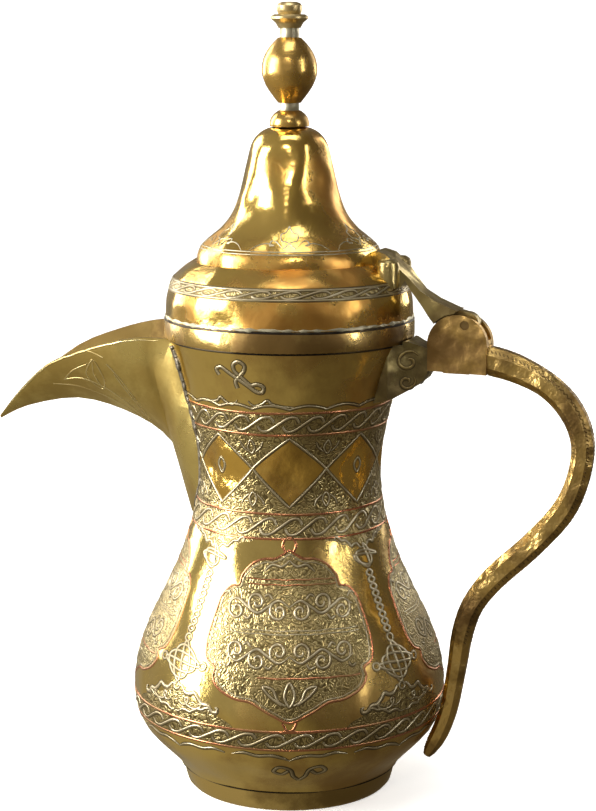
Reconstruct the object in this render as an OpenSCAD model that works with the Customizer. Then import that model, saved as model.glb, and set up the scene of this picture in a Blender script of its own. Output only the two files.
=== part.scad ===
// Arabic coffee pot (dallah): turned body, folded beak, S handle and hinged lid.
// All sizes in millimetres. +Z is up, the foot stands on z = 0 and the pot's
// centre line is the Z axis. The beak points to -X and the handle to +X.

/* [Body] */
// Height of the pot's rim above the table
rim_h = 175.4; // [140:0.1:215]
// Greatest radius of the belly
belly_r = 60.4; // [50:0.1:75]
// Radius at the narrow waist
waist_r = 35.2; // [29:0.1:42]
// Radius at the rim of the mouth
mouth_r = 46; // [38:0.1:56]
// Radius of the foot ring
foot_r = 41.2; // [34:0.1:50]
// Height of the foot ring
foot_h = 8; // [5:0.1:12]
// Width of the foot ring's rim
foot_w = 3.6; // [2.6:0.1:5]
// Thickness of the sheet brass
wall = 1.2; // [0.8:0.1:1.8]

/* [Beak] */
// How far the beak's tip is from the centre line
beak_reach = 124.2; // [100:0.1:150]
// Half of the beak's width where it leaves the neck
beak_w = 21.5; // [17:0.1:25]
// Thickness of the beak's folded sheet
beak_t = 1.3; // [1:0.1:2]
// How much the beak's two rims differ from its mean height
beak_lean = 2; // [0:0.1:3]
// Radius of the pouring notch cut in the neck behind the beak
notch_r = 13.5; // [10:0.1:16]

/* [Lid] */
// Height of the lid from its lower edge to the top of the bell
lid_h = 78.8; // [64:0.1:96]
// How far the lid's band stands out past the rim
lid_over = 1.6; // [0.8:0.1:3]
// Gap under the lid's band when it is shut
lid_gap = 0.1; // [0.1:0.05:0.6]
// Height of the band round the lid's lower edge
band_h = 8; // [5:0.1:11]
// How far the lid's inner collar reaches into the mouth
collar_h = 8.5; // [5:0.1:11]
// Gap between the inner collar and the mouth at the collar's lower end
collar_gap = 0.9; // [0.7:0.1:2]

/* [Finial] */
// Height of the finial above the bell
finial_h = 45.7; // [37:0.1:56]
// Greatest radius of the finial's bulb
bulb_r = 10.4; // [8:0.1:13]
// Radius of the rod that the finial is threaded on
stem_r = 3.6; // [2.8:0.1:4.4]

/* [Hinge] */
// Distance of the hinge pin from the rim of the mouth
pin_out = 24; // [22:0.1:30]
// Height of the hinge pin above the rim
pin_up = 7.7; // [7:0.1:11]
// Radius of the hinge pin
pin_r = 1.75; // [1.4:0.05:2.2]
// Radial play of the pin in the tongue
pin_play = 0.05; // [0.02:0.01:0.1]
// Thickness of the lid arm's tongue
tongue_t = 4; // [3.2:0.1:5]
// Gap on each side of the tongue
tongue_gap = 0.3; // [0.3:0.05:0.5]
// Radius of the rounded end of the tongue
tongue_r = 4.6; // [3.8:0.1:5.6]
// Thickness of each cheek of the hinge block
cheek_t = 2.7; // [2.2:0.1:3.6]
// Radius of the rounded top of the hinge block
hump_r = 11.4; // [10.8:0.1:12.4]

/* [Handle] */
// How far the handle stands out from the centre line
handle_reach = 114; // [100:0.1:135]
// Depth of the handle's bar at the hinge block
bar_w = 10.8; // [8.6:0.1:13]
// Width of the handle's bar across the pot
bar_y = 8.2; // [6.6:0.1:10]
// Gap between the handle's tail and the belly
tail_gap = 0.7; // [0.4:0.1:3]

/* [Hidden] */
$fn = 96;
eps = 0.01;

// A smooth curve through the points p, k steps to each stretch
function at(p, i) = p[max(0, min(len(p) - 1, i))];
function blend(a, b, c, d, t) =
    (2 * b + (c - a) * t + (2 * a - 5 * b + 4 * c - d) * t * t
    + (3 * b - a - 3 * c + d) * t * t * t) / 2;
function smooth(p, k) = concat(
    [for (i = [0:len(p) - 2]) for (j = [0:k - 1])
        blend(at(p, i - 1), at(p, i), at(p, i + 1), at(p, i + 2), j / k)],
    [p[len(p) - 1]]);
// The curve p moved inward by t, square to itself
function side(a, b) = [b[1] - a[1], a[0] - b[0]] / norm(b - a);
function inward(p, t) =
    [for (i = [0:len(p) - 1]) p[i] - t * side(at(p, i - 1), at(p, i + 1))];
function reversed(p) = [for (i = [len(p) - 1:-1:0]) p[i]];
function slice(p, a, b) = [for (i = [a:b]) p[i]];
function mix(a, b, t) = a + (b - a) * t;

// Body outline from the foot to the belly, the waist and the rim. Each row is
// the share of the way between the two radii and the share of the height.
low_share = [[0.0625, 0], [0.208, 0.024], [0.516, 0.06], [0.797, 0.096],
    [0.94, 0.131], [0.988, 0.16], [1, 0.185]];
mid_share = [[0.988, 0.221], [0.913, 0.275], [0.784, 0.329], [0.615, 0.382],
    [0.44, 0.436], [0.282, 0.49], [0.159, 0.544], [0.056, 0.597],
    [0.008, 0.651], [0, 0.69]];
top_share = [[0.046, 0.741], [0.167, 0.795], [0.352, 0.848], [0.546, 0.902],
    [0.782, 0.956], [0.926, 0.983], [1, 1]];
body_z = rim_h - foot_h;
body_pts = concat(
    [for (p = low_share) [mix(foot_r, belly_r, p[0]), foot_h + body_z * p[1]]],
    [for (p = mid_share) [mix(waist_r, belly_r, p[0]), foot_h + body_z * p[1]]],
    [for (p = top_share) [mix(waist_r, mouth_r, p[0]), foot_h + body_z * p[1]]]);
body_out = smooth(body_pts, 2);
body_in = inward(body_out, wall);
body_n = len(body_out) - 1;
seam_i = 10;
seam_z = body_out[seam_i][1];
floor_r = body_out[0][0] - 2;
bore_r = foot_r - foot_w;

// Lid outlines: share of the band's radius, share of the lid's height
lid_r = mouth_r + lid_over;
lid_z = rim_h + lid_gap;
dome_share = [[0.985, 0.146], [0.979, 0.191], [0.96, 0.235], [0.943, 0.263],
    [0.924, 0.289], [0.88, 0.314], [0.826, 0.341], [0.763, 0.365]];
bell_share = [[0.735, 0.365], [0.733, 0.388], [0.721, 0.4135], [0.697, 0.439],
    [0.653, 0.464], [0.605, 0.49], [0.5525, 0.515], [0.479, 0.566],
    [0.433, 0.617], [0.403, 0.668], [0.38, 0.719], [0.357, 0.782],
    [0.332, 0.846], [0.311, 0.897], [0.286, 0.935], [0.24, 0.968],
    [0.168, 0.993]];
function lid_pt(p) = [lid_r * p[0], lid_z + lid_h * p[1]];
dome_out = smooth(concat([[lid_r - 0.6, lid_z + band_h]],
    [for (p = dome_share) lid_pt(p)]), 2);
bell_out = smooth(concat([for (p = bell_share) lid_pt(p)],
    [[stem_r, lid_z + lid_h]]), 2);
dome_n = len(dome_out) - 1;
bell_n = len(bell_out) - 1;
ledge_z = lid_pt(bell_share[0])[1];
bell_top = lid_z + lid_h;
collar_z = lid_z - collar_h;
collar_r = body_r(collar_z) - wall - collar_gap;

// Hinge
pin_x = mouth_r + pin_out;
pin_z = rim_h + pin_up;
block_y = tongue_t + 2 * tongue_gap + 2 * cheek_t;
block_x0 = pin_x - 14;
block_x1 = pin_x + 8.4;
block_z0 = pin_z - 17.5;
block_z1 = pin_z - 7.7;
hump_x = pin_x - 2.8;
swing_r = tongue_r + 0.9;

// Beak stations. Rim rows are the share of the reach past the rim of the mouth,
// the share of the width, the height over the table as a share of the rim's and
// how much higher the +Y rim stands than the -Y one, as a share of beak_lean;
// keel rows are the same shares of reach and height; bow is how full the cheeks are.
rim_share = [[-0.243, 1, 1.0009, 0.35], [0, 1, 1.0009, 0.35], [0.115, 1, 1.0006, 0.55],
    [0.256, 0.99, 0.991, 0.85], [0.435, 0.884, 0.9675, 1], [0.639, 0.67, 0.9293, 0.95],
    [0.844, 0.326, 0.8546, 0.6], [1, 0.042, 0.78, 0.05]];
keel_share = [[-0.243, 0.52], [-0.065, 0.592], [-0.03, 0.695], [0.09, 0.766],
    [0.3, 0.811], [0.556, 0.832], [0.838, 0.807], [1, 0.7725]];
bow = [6, 1.6, 1.7, 1.8, 1.75, 1.55, 1.4, 1.25];
reach = beak_reach - mouth_r;
beak_rim = smooth([for (p = rim_share)
    [-mouth_r - reach * p[0], beak_w * p[1], rim_h * p[2], beak_lean * p[3]]], 3);
beak_keel = smooth([for (p = keel_share)
    [-mouth_r - reach * p[0], 0, rim_h * p[1]]], 3);
beak_bow = smooth(bow, 3);
cheek_k = 6;

// Handle path: distance short of the reach, height as a share of the rim's,
// share of the bar's width. The tail follows the belly.
bar_rows = [[26, 0.956, 0.94], [14.8, 0.927, 0.83], [6.6, 0.887, 0.83],
    [1.4, 0.836, 0.79], [0, 0.781, 0.75], [2.5, 0.71, 0.76], [8, 0.6465, 0.82],
    [19.3, 0.572, 0.84], [32.2, 0.5, 0.84], [40.4, 0.4355, 0.76]];
tail_rows = [[0.371, 0.72], [0.306, 0.66], [0.248, 0.62], [0.193, 0.6],
    [0.138, 0.6]];
function body_r(z) = lookup(z, [for (p = body_out) [p[1], p[0]]]);
tail_off = [11.2, 5.6, 2.3, 0, 0];
bar_path = smooth(concat(
    [[block_x1, block_z0 + bar_w / 2 - 1]],
    [for (p = bar_rows) [handle_reach - p[0], rim_h * p[1]]],
    [for (i = [0:4]) [body_r(rim_h * tail_rows[i][0]) + tail_gap
        + bar_w * tail_rows[i][1] / 2 * (i > 2 ? 1.22 : 1) + tail_off[i],
        rim_h * tail_rows[i][0]]],
    [[body_r(rim_h * 0.086) + tail_gap + 7.6, rim_h * 0.086]]), 3);
bar_size = smooth(concat([1], [for (p = bar_rows) p[2]],
    [for (p = tail_rows) p[1]], [0.5]), 3);

// Part to draw

module turn(p) {
    rotate_extrude()
        polygon(p);
}

// Solid of the body's outside, and of the closed lid's outside
module body_solid() {
    turn(concat([[0, foot_h]], body_out, [[0, rim_h]]));
}

module lid_solid() {
    turn(concat([[0, lid_z], [lid_r, lid_z], [lid_r, lid_z + band_h]], dome_out,
        bell_out, [[0, bell_top]]));
}

// A plate lying in the XZ plane, y thick
module upright(p, y) {
    rotate([90, 0, 0])
        linear_extrude(height = y, center = true)
            polygon(p);
}

module rod_y(x, z, r, y) {
    translate([x, 0, z])
        rotate([90, 0, 0])
            cylinder(r = r, h = y, center = true);
}

module foot_ring() {
    color("goldenrod")
        turn([[bore_r, 0], [foot_r - 2.2, 0], [foot_r - 1.1, foot_h * 0.15],
            [foot_r - 0.3, foot_h * 0.5], [foot_r, foot_h * 0.8], [foot_r, foot_h],
            [bore_r, foot_h]]);
}

module base_disc() {
    color("darkgoldenrod")
        translate([0, 0, foot_h])
            cylinder(r = floor_r, h = wall);
}

module bowl() {
    color("goldenrod")
        turn(concat(slice(body_out, 0, seam_i), [[body_in[seam_i][0], seam_z]],
            reversed(slice(body_in, 2, seam_i - 1)), [[floor_r, foot_h]]));
}

module upper_shell() {
    color("gold")
        difference() {
            turn(concat(slice(body_out, seam_i, body_n), [[mouth_r - wall, rim_h]],
                reversed(slice(body_in, seam_i + 1, body_n - 1)),
                [[body_in[seam_i][0], seam_z]]));
            translate([-mouth_r - 10, 0, rim_h - 1])
                rotate([0, 90, 0])
                    cylinder(r = notch_r, h = 30);
            lug_rivets_solid();
        }
}

// One cross-section of the beak, from rim to keel to rim. The section lies in
// the plane through both rims and the keel.
function cheek_half(r, k, w, b, s) =
    [for (j = [0:cheek_k]) let (v = j / cheek_k)
        [mix(r[0], k[0], v), s * w * (1 - pow(v, b)), mix(r[2] + s * r[3], k[2], v)]];
function cheek(r, k, w, b) = concat(cheek_half(r, k, w, b, 1),
    [for (j = [cheek_k - 1:-1:0]) cheek_half(r, k, w, b, -1)[j]]);

module loft(rows) {
    n = len(rows[0]);
    m = len(rows);
    polyhedron(
        points = [for (row = rows) for (p = row) p],
        faces = concat(
            [[for (j = [0:n - 1]) j]],
            [for (i = [0:m - 2]) for (j = [0:n - 1])
                [i * n + j, (i + 1) * n + j, i * n + (j + 1) % n]],
            [for (i = [0:m - 2]) for (j = [0:n - 1])
                [(i + 1) * n + j, (i + 1) * n + (j + 1) % n, i * n + (j + 1) % n]],
            [[for (j = [n - 1:-1:0]) (m - 1) * n + j]]));
}

module beak() {
    last = len(beak_rim) - 1;
    up = 3;
    color("goldenrod")
        difference() {
            loft([for (i = [0:last])
                cheek(beak_rim[i], beak_keel[i], beak_rim[i][1], beak_bow[i])]);
            loft([for (i = [0:last - 2])
                let (r = beak_rim[i], k = beak_keel[i],
                    d = [r[0] - k[0], 0, r[2] - k[2]],
                    u = d / norm(d),
                    t = at(beak_keel, i + 1) - at(beak_keel, i - 1),
                    in = [t[2], 0, -t[0]] / norm(t),
                    lift = min(1.9, norm(d) / 2.6))
                concat([[r[0] + u[0] * up, r[1] - beak_t, r[2] + r[3] + u[2] * up]],
                    cheek(r, k + lift * in, r[1] - beak_t, beak_bow[i]),
                    [[r[0] + u[0] * up, beak_t - r[1], r[2] - r[3] + u[2] * up]])]);
            body_solid();
            translate([0, 0, rim_h - 0.2])
                cylinder(r = lid_r + 0.7, h = 20);
        }
}

// Saddle that carries the hinge block on the neck
module handle_lug() {
    x0 = mouth_r - 12;
    color("darkgoldenrod")
        difference() {
            intersection() {
                upright([[x0, block_z0 - 13], [block_x0 - 11.5, block_z0 - 10.4],
                    [block_x0 - 6, block_z0 - 7.2], [block_x0 - 1.5, block_z0 - 3.6],
                    [block_x0, block_z0 - 1], [block_x0, block_z1 - 1.6],
                    [block_x0 - 7.4, block_z1 + 1.2], [x0, block_z1 + 1.2]], 40);
                translate([0, 0, block_z0 - 20])
                    linear_extrude(height = 40)
                        polygon([[x0, -13], [block_x0 - 13, -12.6],
                            [block_x0 - 8.5, -8.6], [block_x0 - 4.5, -6.2],
                            [block_x0, -block_y / 2], [block_x0, block_y / 2],
                            [block_x0 - 4.5, 6.2], [block_x0 - 8.5, 8.6],
                            [block_x0 - 13, 12.6], [x0, 13]]);
            }
            body_solid();
            translate([0, 0, rim_h - 0.2])
                cylinder(r = lid_r + 0.7, h = 20);
            lug_rivets_solid();
        }
}

rivet_z = [collar_z - 3.5, collar_z - 9.7];
module lug_rivets_solid() {
    for (z = rivet_z)
        translate([body_r(z) - wall - 1.6, 0, z])
            rotate([0, 90, 0])
                cylinder(r = 1.5, h = wall + 5);
}

// Two rivets through the neck into the lug, headed inside
module lug_rivets() {
    color("peru") {
        lug_rivets_solid();
        difference() {
            for (z = rivet_z)
                translate([body_r(z) - wall - 1.6, 0, z])
                    rotate([0, 90, 0])
                        cylinder(r = 2.7, h = 3);
            turn(concat([[belly_r + 9, seam_z], [belly_r + 9, rim_h],
                [mouth_r - wall, rim_h]],
                reversed(slice(body_in, seam_i + 1, body_n - 1)),
                [[body_in[seam_i][0], seam_z]]));
        }
    }
}

module hinge_block() {
    color("goldenrod")
        difference() {
            union() {
                upright([[block_x0, block_z0], [block_x1, block_z0 - 0.6],
                    [block_x1, block_z1], [block_x0, block_z1]], block_y);
                rod_y(hump_x, block_z1, hump_r, block_y);
            }
            translate([block_x0 - 5, -tongue_t / 2 - tongue_gap, pin_z - swing_r])
                cube([40, tongue_t + 2 * tongue_gap, 40]);
            rod_y(pin_x, pin_z, pin_r, block_y + 2);
            translate([hump_x - 20, -20, block_z0 - 15])
                cube([40, 40, 14.4]);
        }
}

module hinge_pin() {
    color("silver")
        rod_y(pin_x, pin_z, pin_r, block_y - 0.6);
}

// Bevelled bar swept along the handle's path
module handle() {
    n = len(bar_path) - 1;
    color("goldenrod")
        loft([for (i = [0:n])
            let (t = i == 0 ? [1, 0]
                    : (at(bar_path, i + 1) - at(bar_path, i - 1))
                    / norm(at(bar_path, i + 1) - at(bar_path, i - 1)),
                a = bar_w * bar_size[i] / 2,
                b = bar_y * mix(1, bar_size[i], 0.55) / 2,
                e = i > n - 2 ? (i == n ? 0.55 : 0.85) : 1)
            [for (q = [[1, 0.45], [0.45, 1], [-0.45, 1], [-1, 0.45],
                [-1, -0.45], [-0.45, -1], [0.45, -1], [1, -0.45]])
                [bar_path[i][0] - t[1] * a * q[0] * e, b * q[1] * e,
                    bar_path[i][1] + t[0] * a * q[0] * e]]]);
}

module lid_band() {
    color("goldenrod")
        turn([[collar_r, lid_z], [lid_r - 0.2, lid_z], [lid_r, lid_z + 1.4],
            [lid_r, lid_z + band_h - 2], [lid_r - 0.4, lid_z + band_h],
            [lid_r - 1.4, lid_z + band_h], [lid_r - 1.4, lid_z + wall],
            [collar_r, lid_z + wall]]);
}

module lid_collar() {
    color("darkgoldenrod")
        turn([[collar_r - wall, collar_z], [collar_r, collar_z],
            [collar_r, lid_z + wall + 1], [collar_r - wall, lid_z + wall + 1]]);
}

module lid_dome() {
    color("gold")
        difference() {
            turn(concat(dome_out, [[bell_out[0][0] - 2.2, ledge_z],
                [bell_out[0][0] - 2.2, ledge_z - wall],
                [dome_out[dome_n][0] - 0.6, ledge_z - wall]],
                reversed(slice(inward(dome_out, wall), 1, dome_n - 1)),
                [[lid_r - 0.6 - wall, lid_z + band_h]]));
            arm_shanks();
        }
}

bell_in = inward(bell_out, wall);
module lid_bell() {
    color("gold")
        turn(concat(bell_out, [[stem_r, bell_top - wall]],
            reversed(slice(bell_in, 1, bell_n - 1)),
            [[bell_out[0][0] - wall, ledge_z]]));
}

foot_x = lid_r - 6.4;
foot_y = 7.4;
module arm_shanks() {
    for (y = [-foot_y, foot_y])
        translate([foot_x, y, ledge_z - 7])
            cylinder(r = 1.4, h = 8);
}

// Strap from the lid's shoulder to the tongue in the hinge
module lid_arm() {
    color("darkgoldenrod")
        difference() {
            union() {
                intersection() {
                    difference() {
                        upright([[lid_r - 13.6, ledge_z - 6],
                            [lid_r - 13.6, ledge_z + 4.6], [lid_r - 11.4, ledge_z + 5.3],
                            [lid_r - 7.4, ledge_z + 4], [lid_r - 3.4, ledge_z + 0.4],
                            [lid_r + 1.4, ledge_z - 4.9], [pin_x - 17.2, pin_z + 12],
                            [pin_x - 11.6, pin_z + 8.6], [pin_x - 4.3, pin_z + 5.6],
                            [pin_x, pin_z + tongue_r], [pin_x, pin_z],
                            [pin_x - 11.3, pin_z - 0.5], [pin_x - 13.5, pin_z + 2.1],
                            [pin_x - 17, pin_z + 7.1], [lid_r + 1.7, ledge_z - 9],
                            [lid_r - 0.2, ledge_z - 5.4], [lid_r - 1.6, ledge_z - 8]],
                            30);
                        difference() {
                            union() {
                                rod_y(pin_x, pin_z, swing_r + 0.4, 40);
                                rod_y(hump_x, block_z1, hump_r + 0.5, 40);
                            }
                            cube([400, tongue_t, 600], center = true);
                        }
                    }
                    translate([0, 0, rim_h])
                        linear_extrude(height = 80)
                            polygon([[lid_r - 14, -5], [lid_r - 9, -6.5],
                                [lid_r - 3, -7.5], [lid_r + 1.6, -5.2],
                                [lid_r + 6, -4.6], [pin_x - 11, -block_y / 2],
                                [pin_x + 8, -block_y / 2], [pin_x + 8, block_y / 2],
                                [pin_x - 11, block_y / 2], [lid_r + 6, 4.6],
                                [lid_r + 1.6, 5.2], [lid_r - 3, 7.5],
                                [lid_r - 9, 6.5], [lid_r - 14, 5]]);
                }
                rod_y(pin_x, pin_z, tongue_r, tongue_t);
                for (y = [-foot_y, foot_y])
                    translate([foot_x, y, ledge_z - 8])
                        turn([[0, 0], [4.4, 0], [4.4, 8], [3.9, 9.4], [2.6, 10.3],
                            [0, 10.6]]);
            }
            lid_solid();
            rod_y(pin_x, pin_z, pin_r + pin_play, 20);
            arm_shanks();
        }
}

module arm_rivets() {
    color("peru") {
        arm_shanks();
        difference() {
            for (y = [-foot_y, foot_y])
                translate([foot_x, y, ledge_z - 7])
                    cylinder(r = 2.6, h = 7);
            turn(concat([[lid_r + 3, ledge_z + 10],
                [bell_out[0][0] - 2.2, ledge_z + 10],
                [bell_out[0][0] - 2.2, ledge_z - wall],
                [dome_out[dome_n][0] - 0.6, ledge_z - wall]],
                reversed(slice(inward(dome_out, wall), 1, dome_n - 1)),
                [[lid_r - 0.6 - wall, lid_z + band_h], [lid_r + 3, lid_z + band_h]]));
        }
    }
}

// Finial parts are threaded on the stem, heights as a share of the finial's
function up_z(s) = bell_top + finial_h * s;

module stem() {
    color("silver")
        translate([0, 0, bell_top - 5])
            cylinder(r = stem_r, h = 5 + finial_h * 0.9);
}

module stem_washer() {
    color("darkgoldenrod")
        difference() {
            translate([0, 0, bell_top - 4])
                cylinder(r = 6, h = 4 - wall);
            turn(concat(bell_out, [[0, bell_top], [0, bell_top - wall],
                [stem_r, bell_top - wall]], reversed(slice(bell_in, 1, bell_n - 1)),
                [[bell_out[0][0] - wall, ledge_z]]));
            translate([0, 0, bell_top - 5])
                cylinder(r = stem_r, h = 6);
        }
}

module bead(p) {
    turn(concat([[stem_r, p[0][1]]], p, [[stem_r, p[len(p) - 1][1]]]));
}

module finial_bead() {
    color("goldenrod")
        bead(smooth([[bulb_r * 0.7, up_z(0)], [bulb_r * 0.715, up_z(0.03)],
            [bulb_r * 0.65, up_z(0.075)], [bulb_r * 0.52, up_z(0.11)],
            [bulb_r * 0.39, up_z(0.13)]], 2));
}

module finial_bulb() {
    color("gold")
        bead(smooth([[bulb_r * 0.41, up_z(0.19)], [bulb_r * 0.63, up_z(0.255)],
            [bulb_r * 0.85, up_z(0.33)], [bulb_r * 0.98, up_z(0.41)],
            [bulb_r, up_z(0.465)], [bulb_r * 0.95, up_z(0.54)],
            [bulb_r * 0.81, up_z(0.61)], [bulb_r * 0.6, up_z(0.672)],
            [bulb_r * 0.41, up_z(0.715)]], 2));
}

module finial_collar() {
    color("goldenrod")
        bead([[bulb_r * 0.4, up_z(0.79)], [bulb_r * 0.5, up_z(0.832)],
            [bulb_r * 0.67, up_z(0.865)], [bulb_r * 0.67, up_z(0.882)],
            [bulb_r * 0.56, up_z(0.9)]]);
}

module finial_cap() {
    color("goldenrod")
        turn([[0, up_z(0.9)], [bulb_r * 0.4, up_z(0.9)], [bulb_r * 0.45, up_z(0.93)],
            [bulb_r * 0.45, up_z(0.97)], [bulb_r * 0.38, up_z(0.99)],
            [bulb_r * 0.25, up_z(1)], [0, up_z(1)]]);
}

foot_ring();
base_disc();
bowl();
upper_shell();
beak();
handle_lug();
lug_rivets();
hinge_block();
handle();
hinge_pin();
lid_band();
lid_collar();
lid_dome();
lid_bell();
lid_arm();
arm_rivets();
stem();
stem_washer();
finial_bead();
finial_bulb();
finial_collar();
finial_cap();
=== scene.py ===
import math

import bmesh
import bpy
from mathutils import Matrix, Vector, noise
from mathutils.bvhtree import BVHTree


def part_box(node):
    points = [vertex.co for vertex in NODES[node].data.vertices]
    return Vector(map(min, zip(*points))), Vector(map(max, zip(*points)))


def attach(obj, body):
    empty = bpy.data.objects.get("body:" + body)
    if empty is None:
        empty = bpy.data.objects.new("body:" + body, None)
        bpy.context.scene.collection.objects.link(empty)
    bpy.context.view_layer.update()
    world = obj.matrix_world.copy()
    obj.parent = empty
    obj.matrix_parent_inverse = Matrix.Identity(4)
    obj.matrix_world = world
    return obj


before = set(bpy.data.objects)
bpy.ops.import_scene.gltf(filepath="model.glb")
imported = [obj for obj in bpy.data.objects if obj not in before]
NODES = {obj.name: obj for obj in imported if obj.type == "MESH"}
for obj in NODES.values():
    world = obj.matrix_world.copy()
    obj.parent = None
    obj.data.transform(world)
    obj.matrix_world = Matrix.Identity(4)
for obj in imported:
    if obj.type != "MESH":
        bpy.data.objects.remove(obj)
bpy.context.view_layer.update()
MM = 0.001
TURN = 2 * math.pi
VIEW_AZ = math.radians(20)   # the camera and first medallion, round from -Y toward +X


# ---------------------------------------------------------------- node tools

def new_material(name):
    mat = bpy.data.materials.new(name)
    mat.use_nodes = True
    tree = mat.node_tree
    tree.nodes.clear()
    out = tree.nodes.new("ShaderNodeOutputMaterial")
    bsdf = tree.nodes.new("ShaderNodeBsdfPrincipled")
    tree.links.new(bsdf.outputs["BSDF"], out.inputs["Surface"])
    return mat, tree, bsdf


def add(tree, kind, **values):
    node = tree.nodes.new(kind)
    for key, value in values.items():
        setattr(node, key, value)
    return node


def math_node(tree, operation, a, b=None):
    node = add(tree, "ShaderNodeMath", operation=operation)
    for socket, value in zip(node.inputs, (a, b)):
        if value is None:
            continue
        if isinstance(value, (int, float)):
            socket.default_value = value
        else:
            tree.links.new(value, socket)
    return node.outputs[0]


def noise_value(tree, coords, scale, detail, rough):
    node = add(tree, "ShaderNodeTexNoise")
    node.inputs["Scale"].default_value = scale
    node.inputs["Detail"].default_value = detail
    node.inputs["Roughness"].default_value = rough
    tree.links.new(coords, node.inputs["Vector"])
    return node.outputs[0]


def ranged(tree, value, lo, hi, to_lo=0.0, to_hi=1.0):
    node = add(tree, "ShaderNodeMapRange", interpolation_type="SMOOTHSTEP")
    tree.links.new(value, node.inputs["Value"])
    for key, number in (("From Min", lo), ("From Max", hi),
                        ("To Min", to_lo), ("To Max", to_hi)):
        node.inputs[key].default_value = number
    return node.outputs["Result"]


def mixed(tree, factor, a, b):
    node = add(tree, "ShaderNodeMix", data_type="RGBA")
    tree.links.new(factor, node.inputs["Factor"])
    for socket, value in ((node.inputs[6], a), (node.inputs[7], b)):
        if isinstance(value, tuple):
            socket.default_value = (*value, 1)
        else:
            tree.links.new(value, socket)
    return node.outputs[2]


def bump(tree, height, distance, normal=None):
    node = add(tree, "ShaderNodeBump")
    node.inputs["Strength"].default_value = 1.0
    node.inputs["Distance"].default_value = distance
    tree.links.new(height, node.inputs["Height"])
    if normal is not None:
        tree.links.new(normal, node.inputs["Normal"])
    return node.outputs["Normal"]


# ---------------------------------------------- effects that all finishes share

def effect_group(name, inputs, outputs):
    """An empty effect with named sockets, and its two end nodes."""
    group = bpy.data.node_groups.new(name, "ShaderNodeTree")
    for label, kind in inputs:
        group.interface.new_socket(label, in_out="INPUT", socket_type=kind)
    for label in outputs:
        group.interface.new_socket(label, in_out="OUTPUT", socket_type="NodeSocketFloat")
    return group, group.nodes.new("NodeGroupInput"), group.nodes.new("NodeGroupOutput")


def tarnish_and_shade_group():
    """Cloudy tarnish plus painted shade, darker toward one side by the given amount, and
    fine handling scratches.
    """
    group, given, out = effect_group(
        "tarnish_and_side_shade", (("Vector", "NodeSocketVector"), ("Lean", "NodeSocketFloat")),
        ("TarnishAndShade", "Fine"))
    cloud = noise_value(group, given.outputs["Vector"], 38, 5, 0.6)
    split = add(group, "ShaderNodeSeparateXYZ")
    group.links.new(given.outputs["Vector"], split.inputs[0])
    # Painted shade: the mask rises along x, so one side of the piece comes out in the
    # darker tone.
    shade_lean = math_node(group, "MULTIPLY", split.outputs[0], given.outputs["Lean"])
    group.links.new(math_node(group, "ADD", cloud, shade_lean), out.inputs["TarnishAndShade"])
    group.links.new(noise_value(group, given.outputs["Vector"], 900, 3, 0.6),
                    out.inputs["Fine"])
    return group


def hammer_group():
    """Heights of hammer marks, of the sheet's slow swell and of its small facets."""
    group, given, out = effect_group(
        "hammer_marks", (("Vector", "NodeSocketVector"), ("Scale", "NodeSocketFloat")),
        ("Marks", "Swell", "Facets"))
    marks = add(group, "ShaderNodeTexVoronoi", feature="SMOOTH_F1")
    marks.inputs["Smoothness"].default_value = 0.55
    group.links.new(given.outputs["Vector"], marks.inputs["Vector"])
    group.links.new(given.outputs["Scale"], marks.inputs["Scale"])
    group.links.new(marks.outputs["Distance"], out.inputs["Marks"])
    for label, times, detail in (("Swell", 0.45, 2), ("Facets", 3.1, 3)):
        field = add(group, "ShaderNodeTexNoise")
        field.inputs["Detail"].default_value = detail
        group.links.new(given.outputs["Vector"], field.inputs["Vector"])
        group.links.new(math_node(group, "MULTIPLY", given.outputs["Scale"], times),
                        field.inputs["Scale"])
        group.links.new(field.outputs[0], out.inputs[label])
    return group


TARNISH_AND_SHADE, HAMMER = tarnish_and_shade_group(), hammer_group()


def effect(tree, group, coords, **values):
    node = add(tree, "ShaderNodeGroup", node_tree=group)
    tree.links.new(coords, node.inputs["Vector"])
    for key, value in values.items():
        node.inputs[key].default_value = value
    return node.outputs


# ----------------------------------------------------------------- materials

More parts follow.
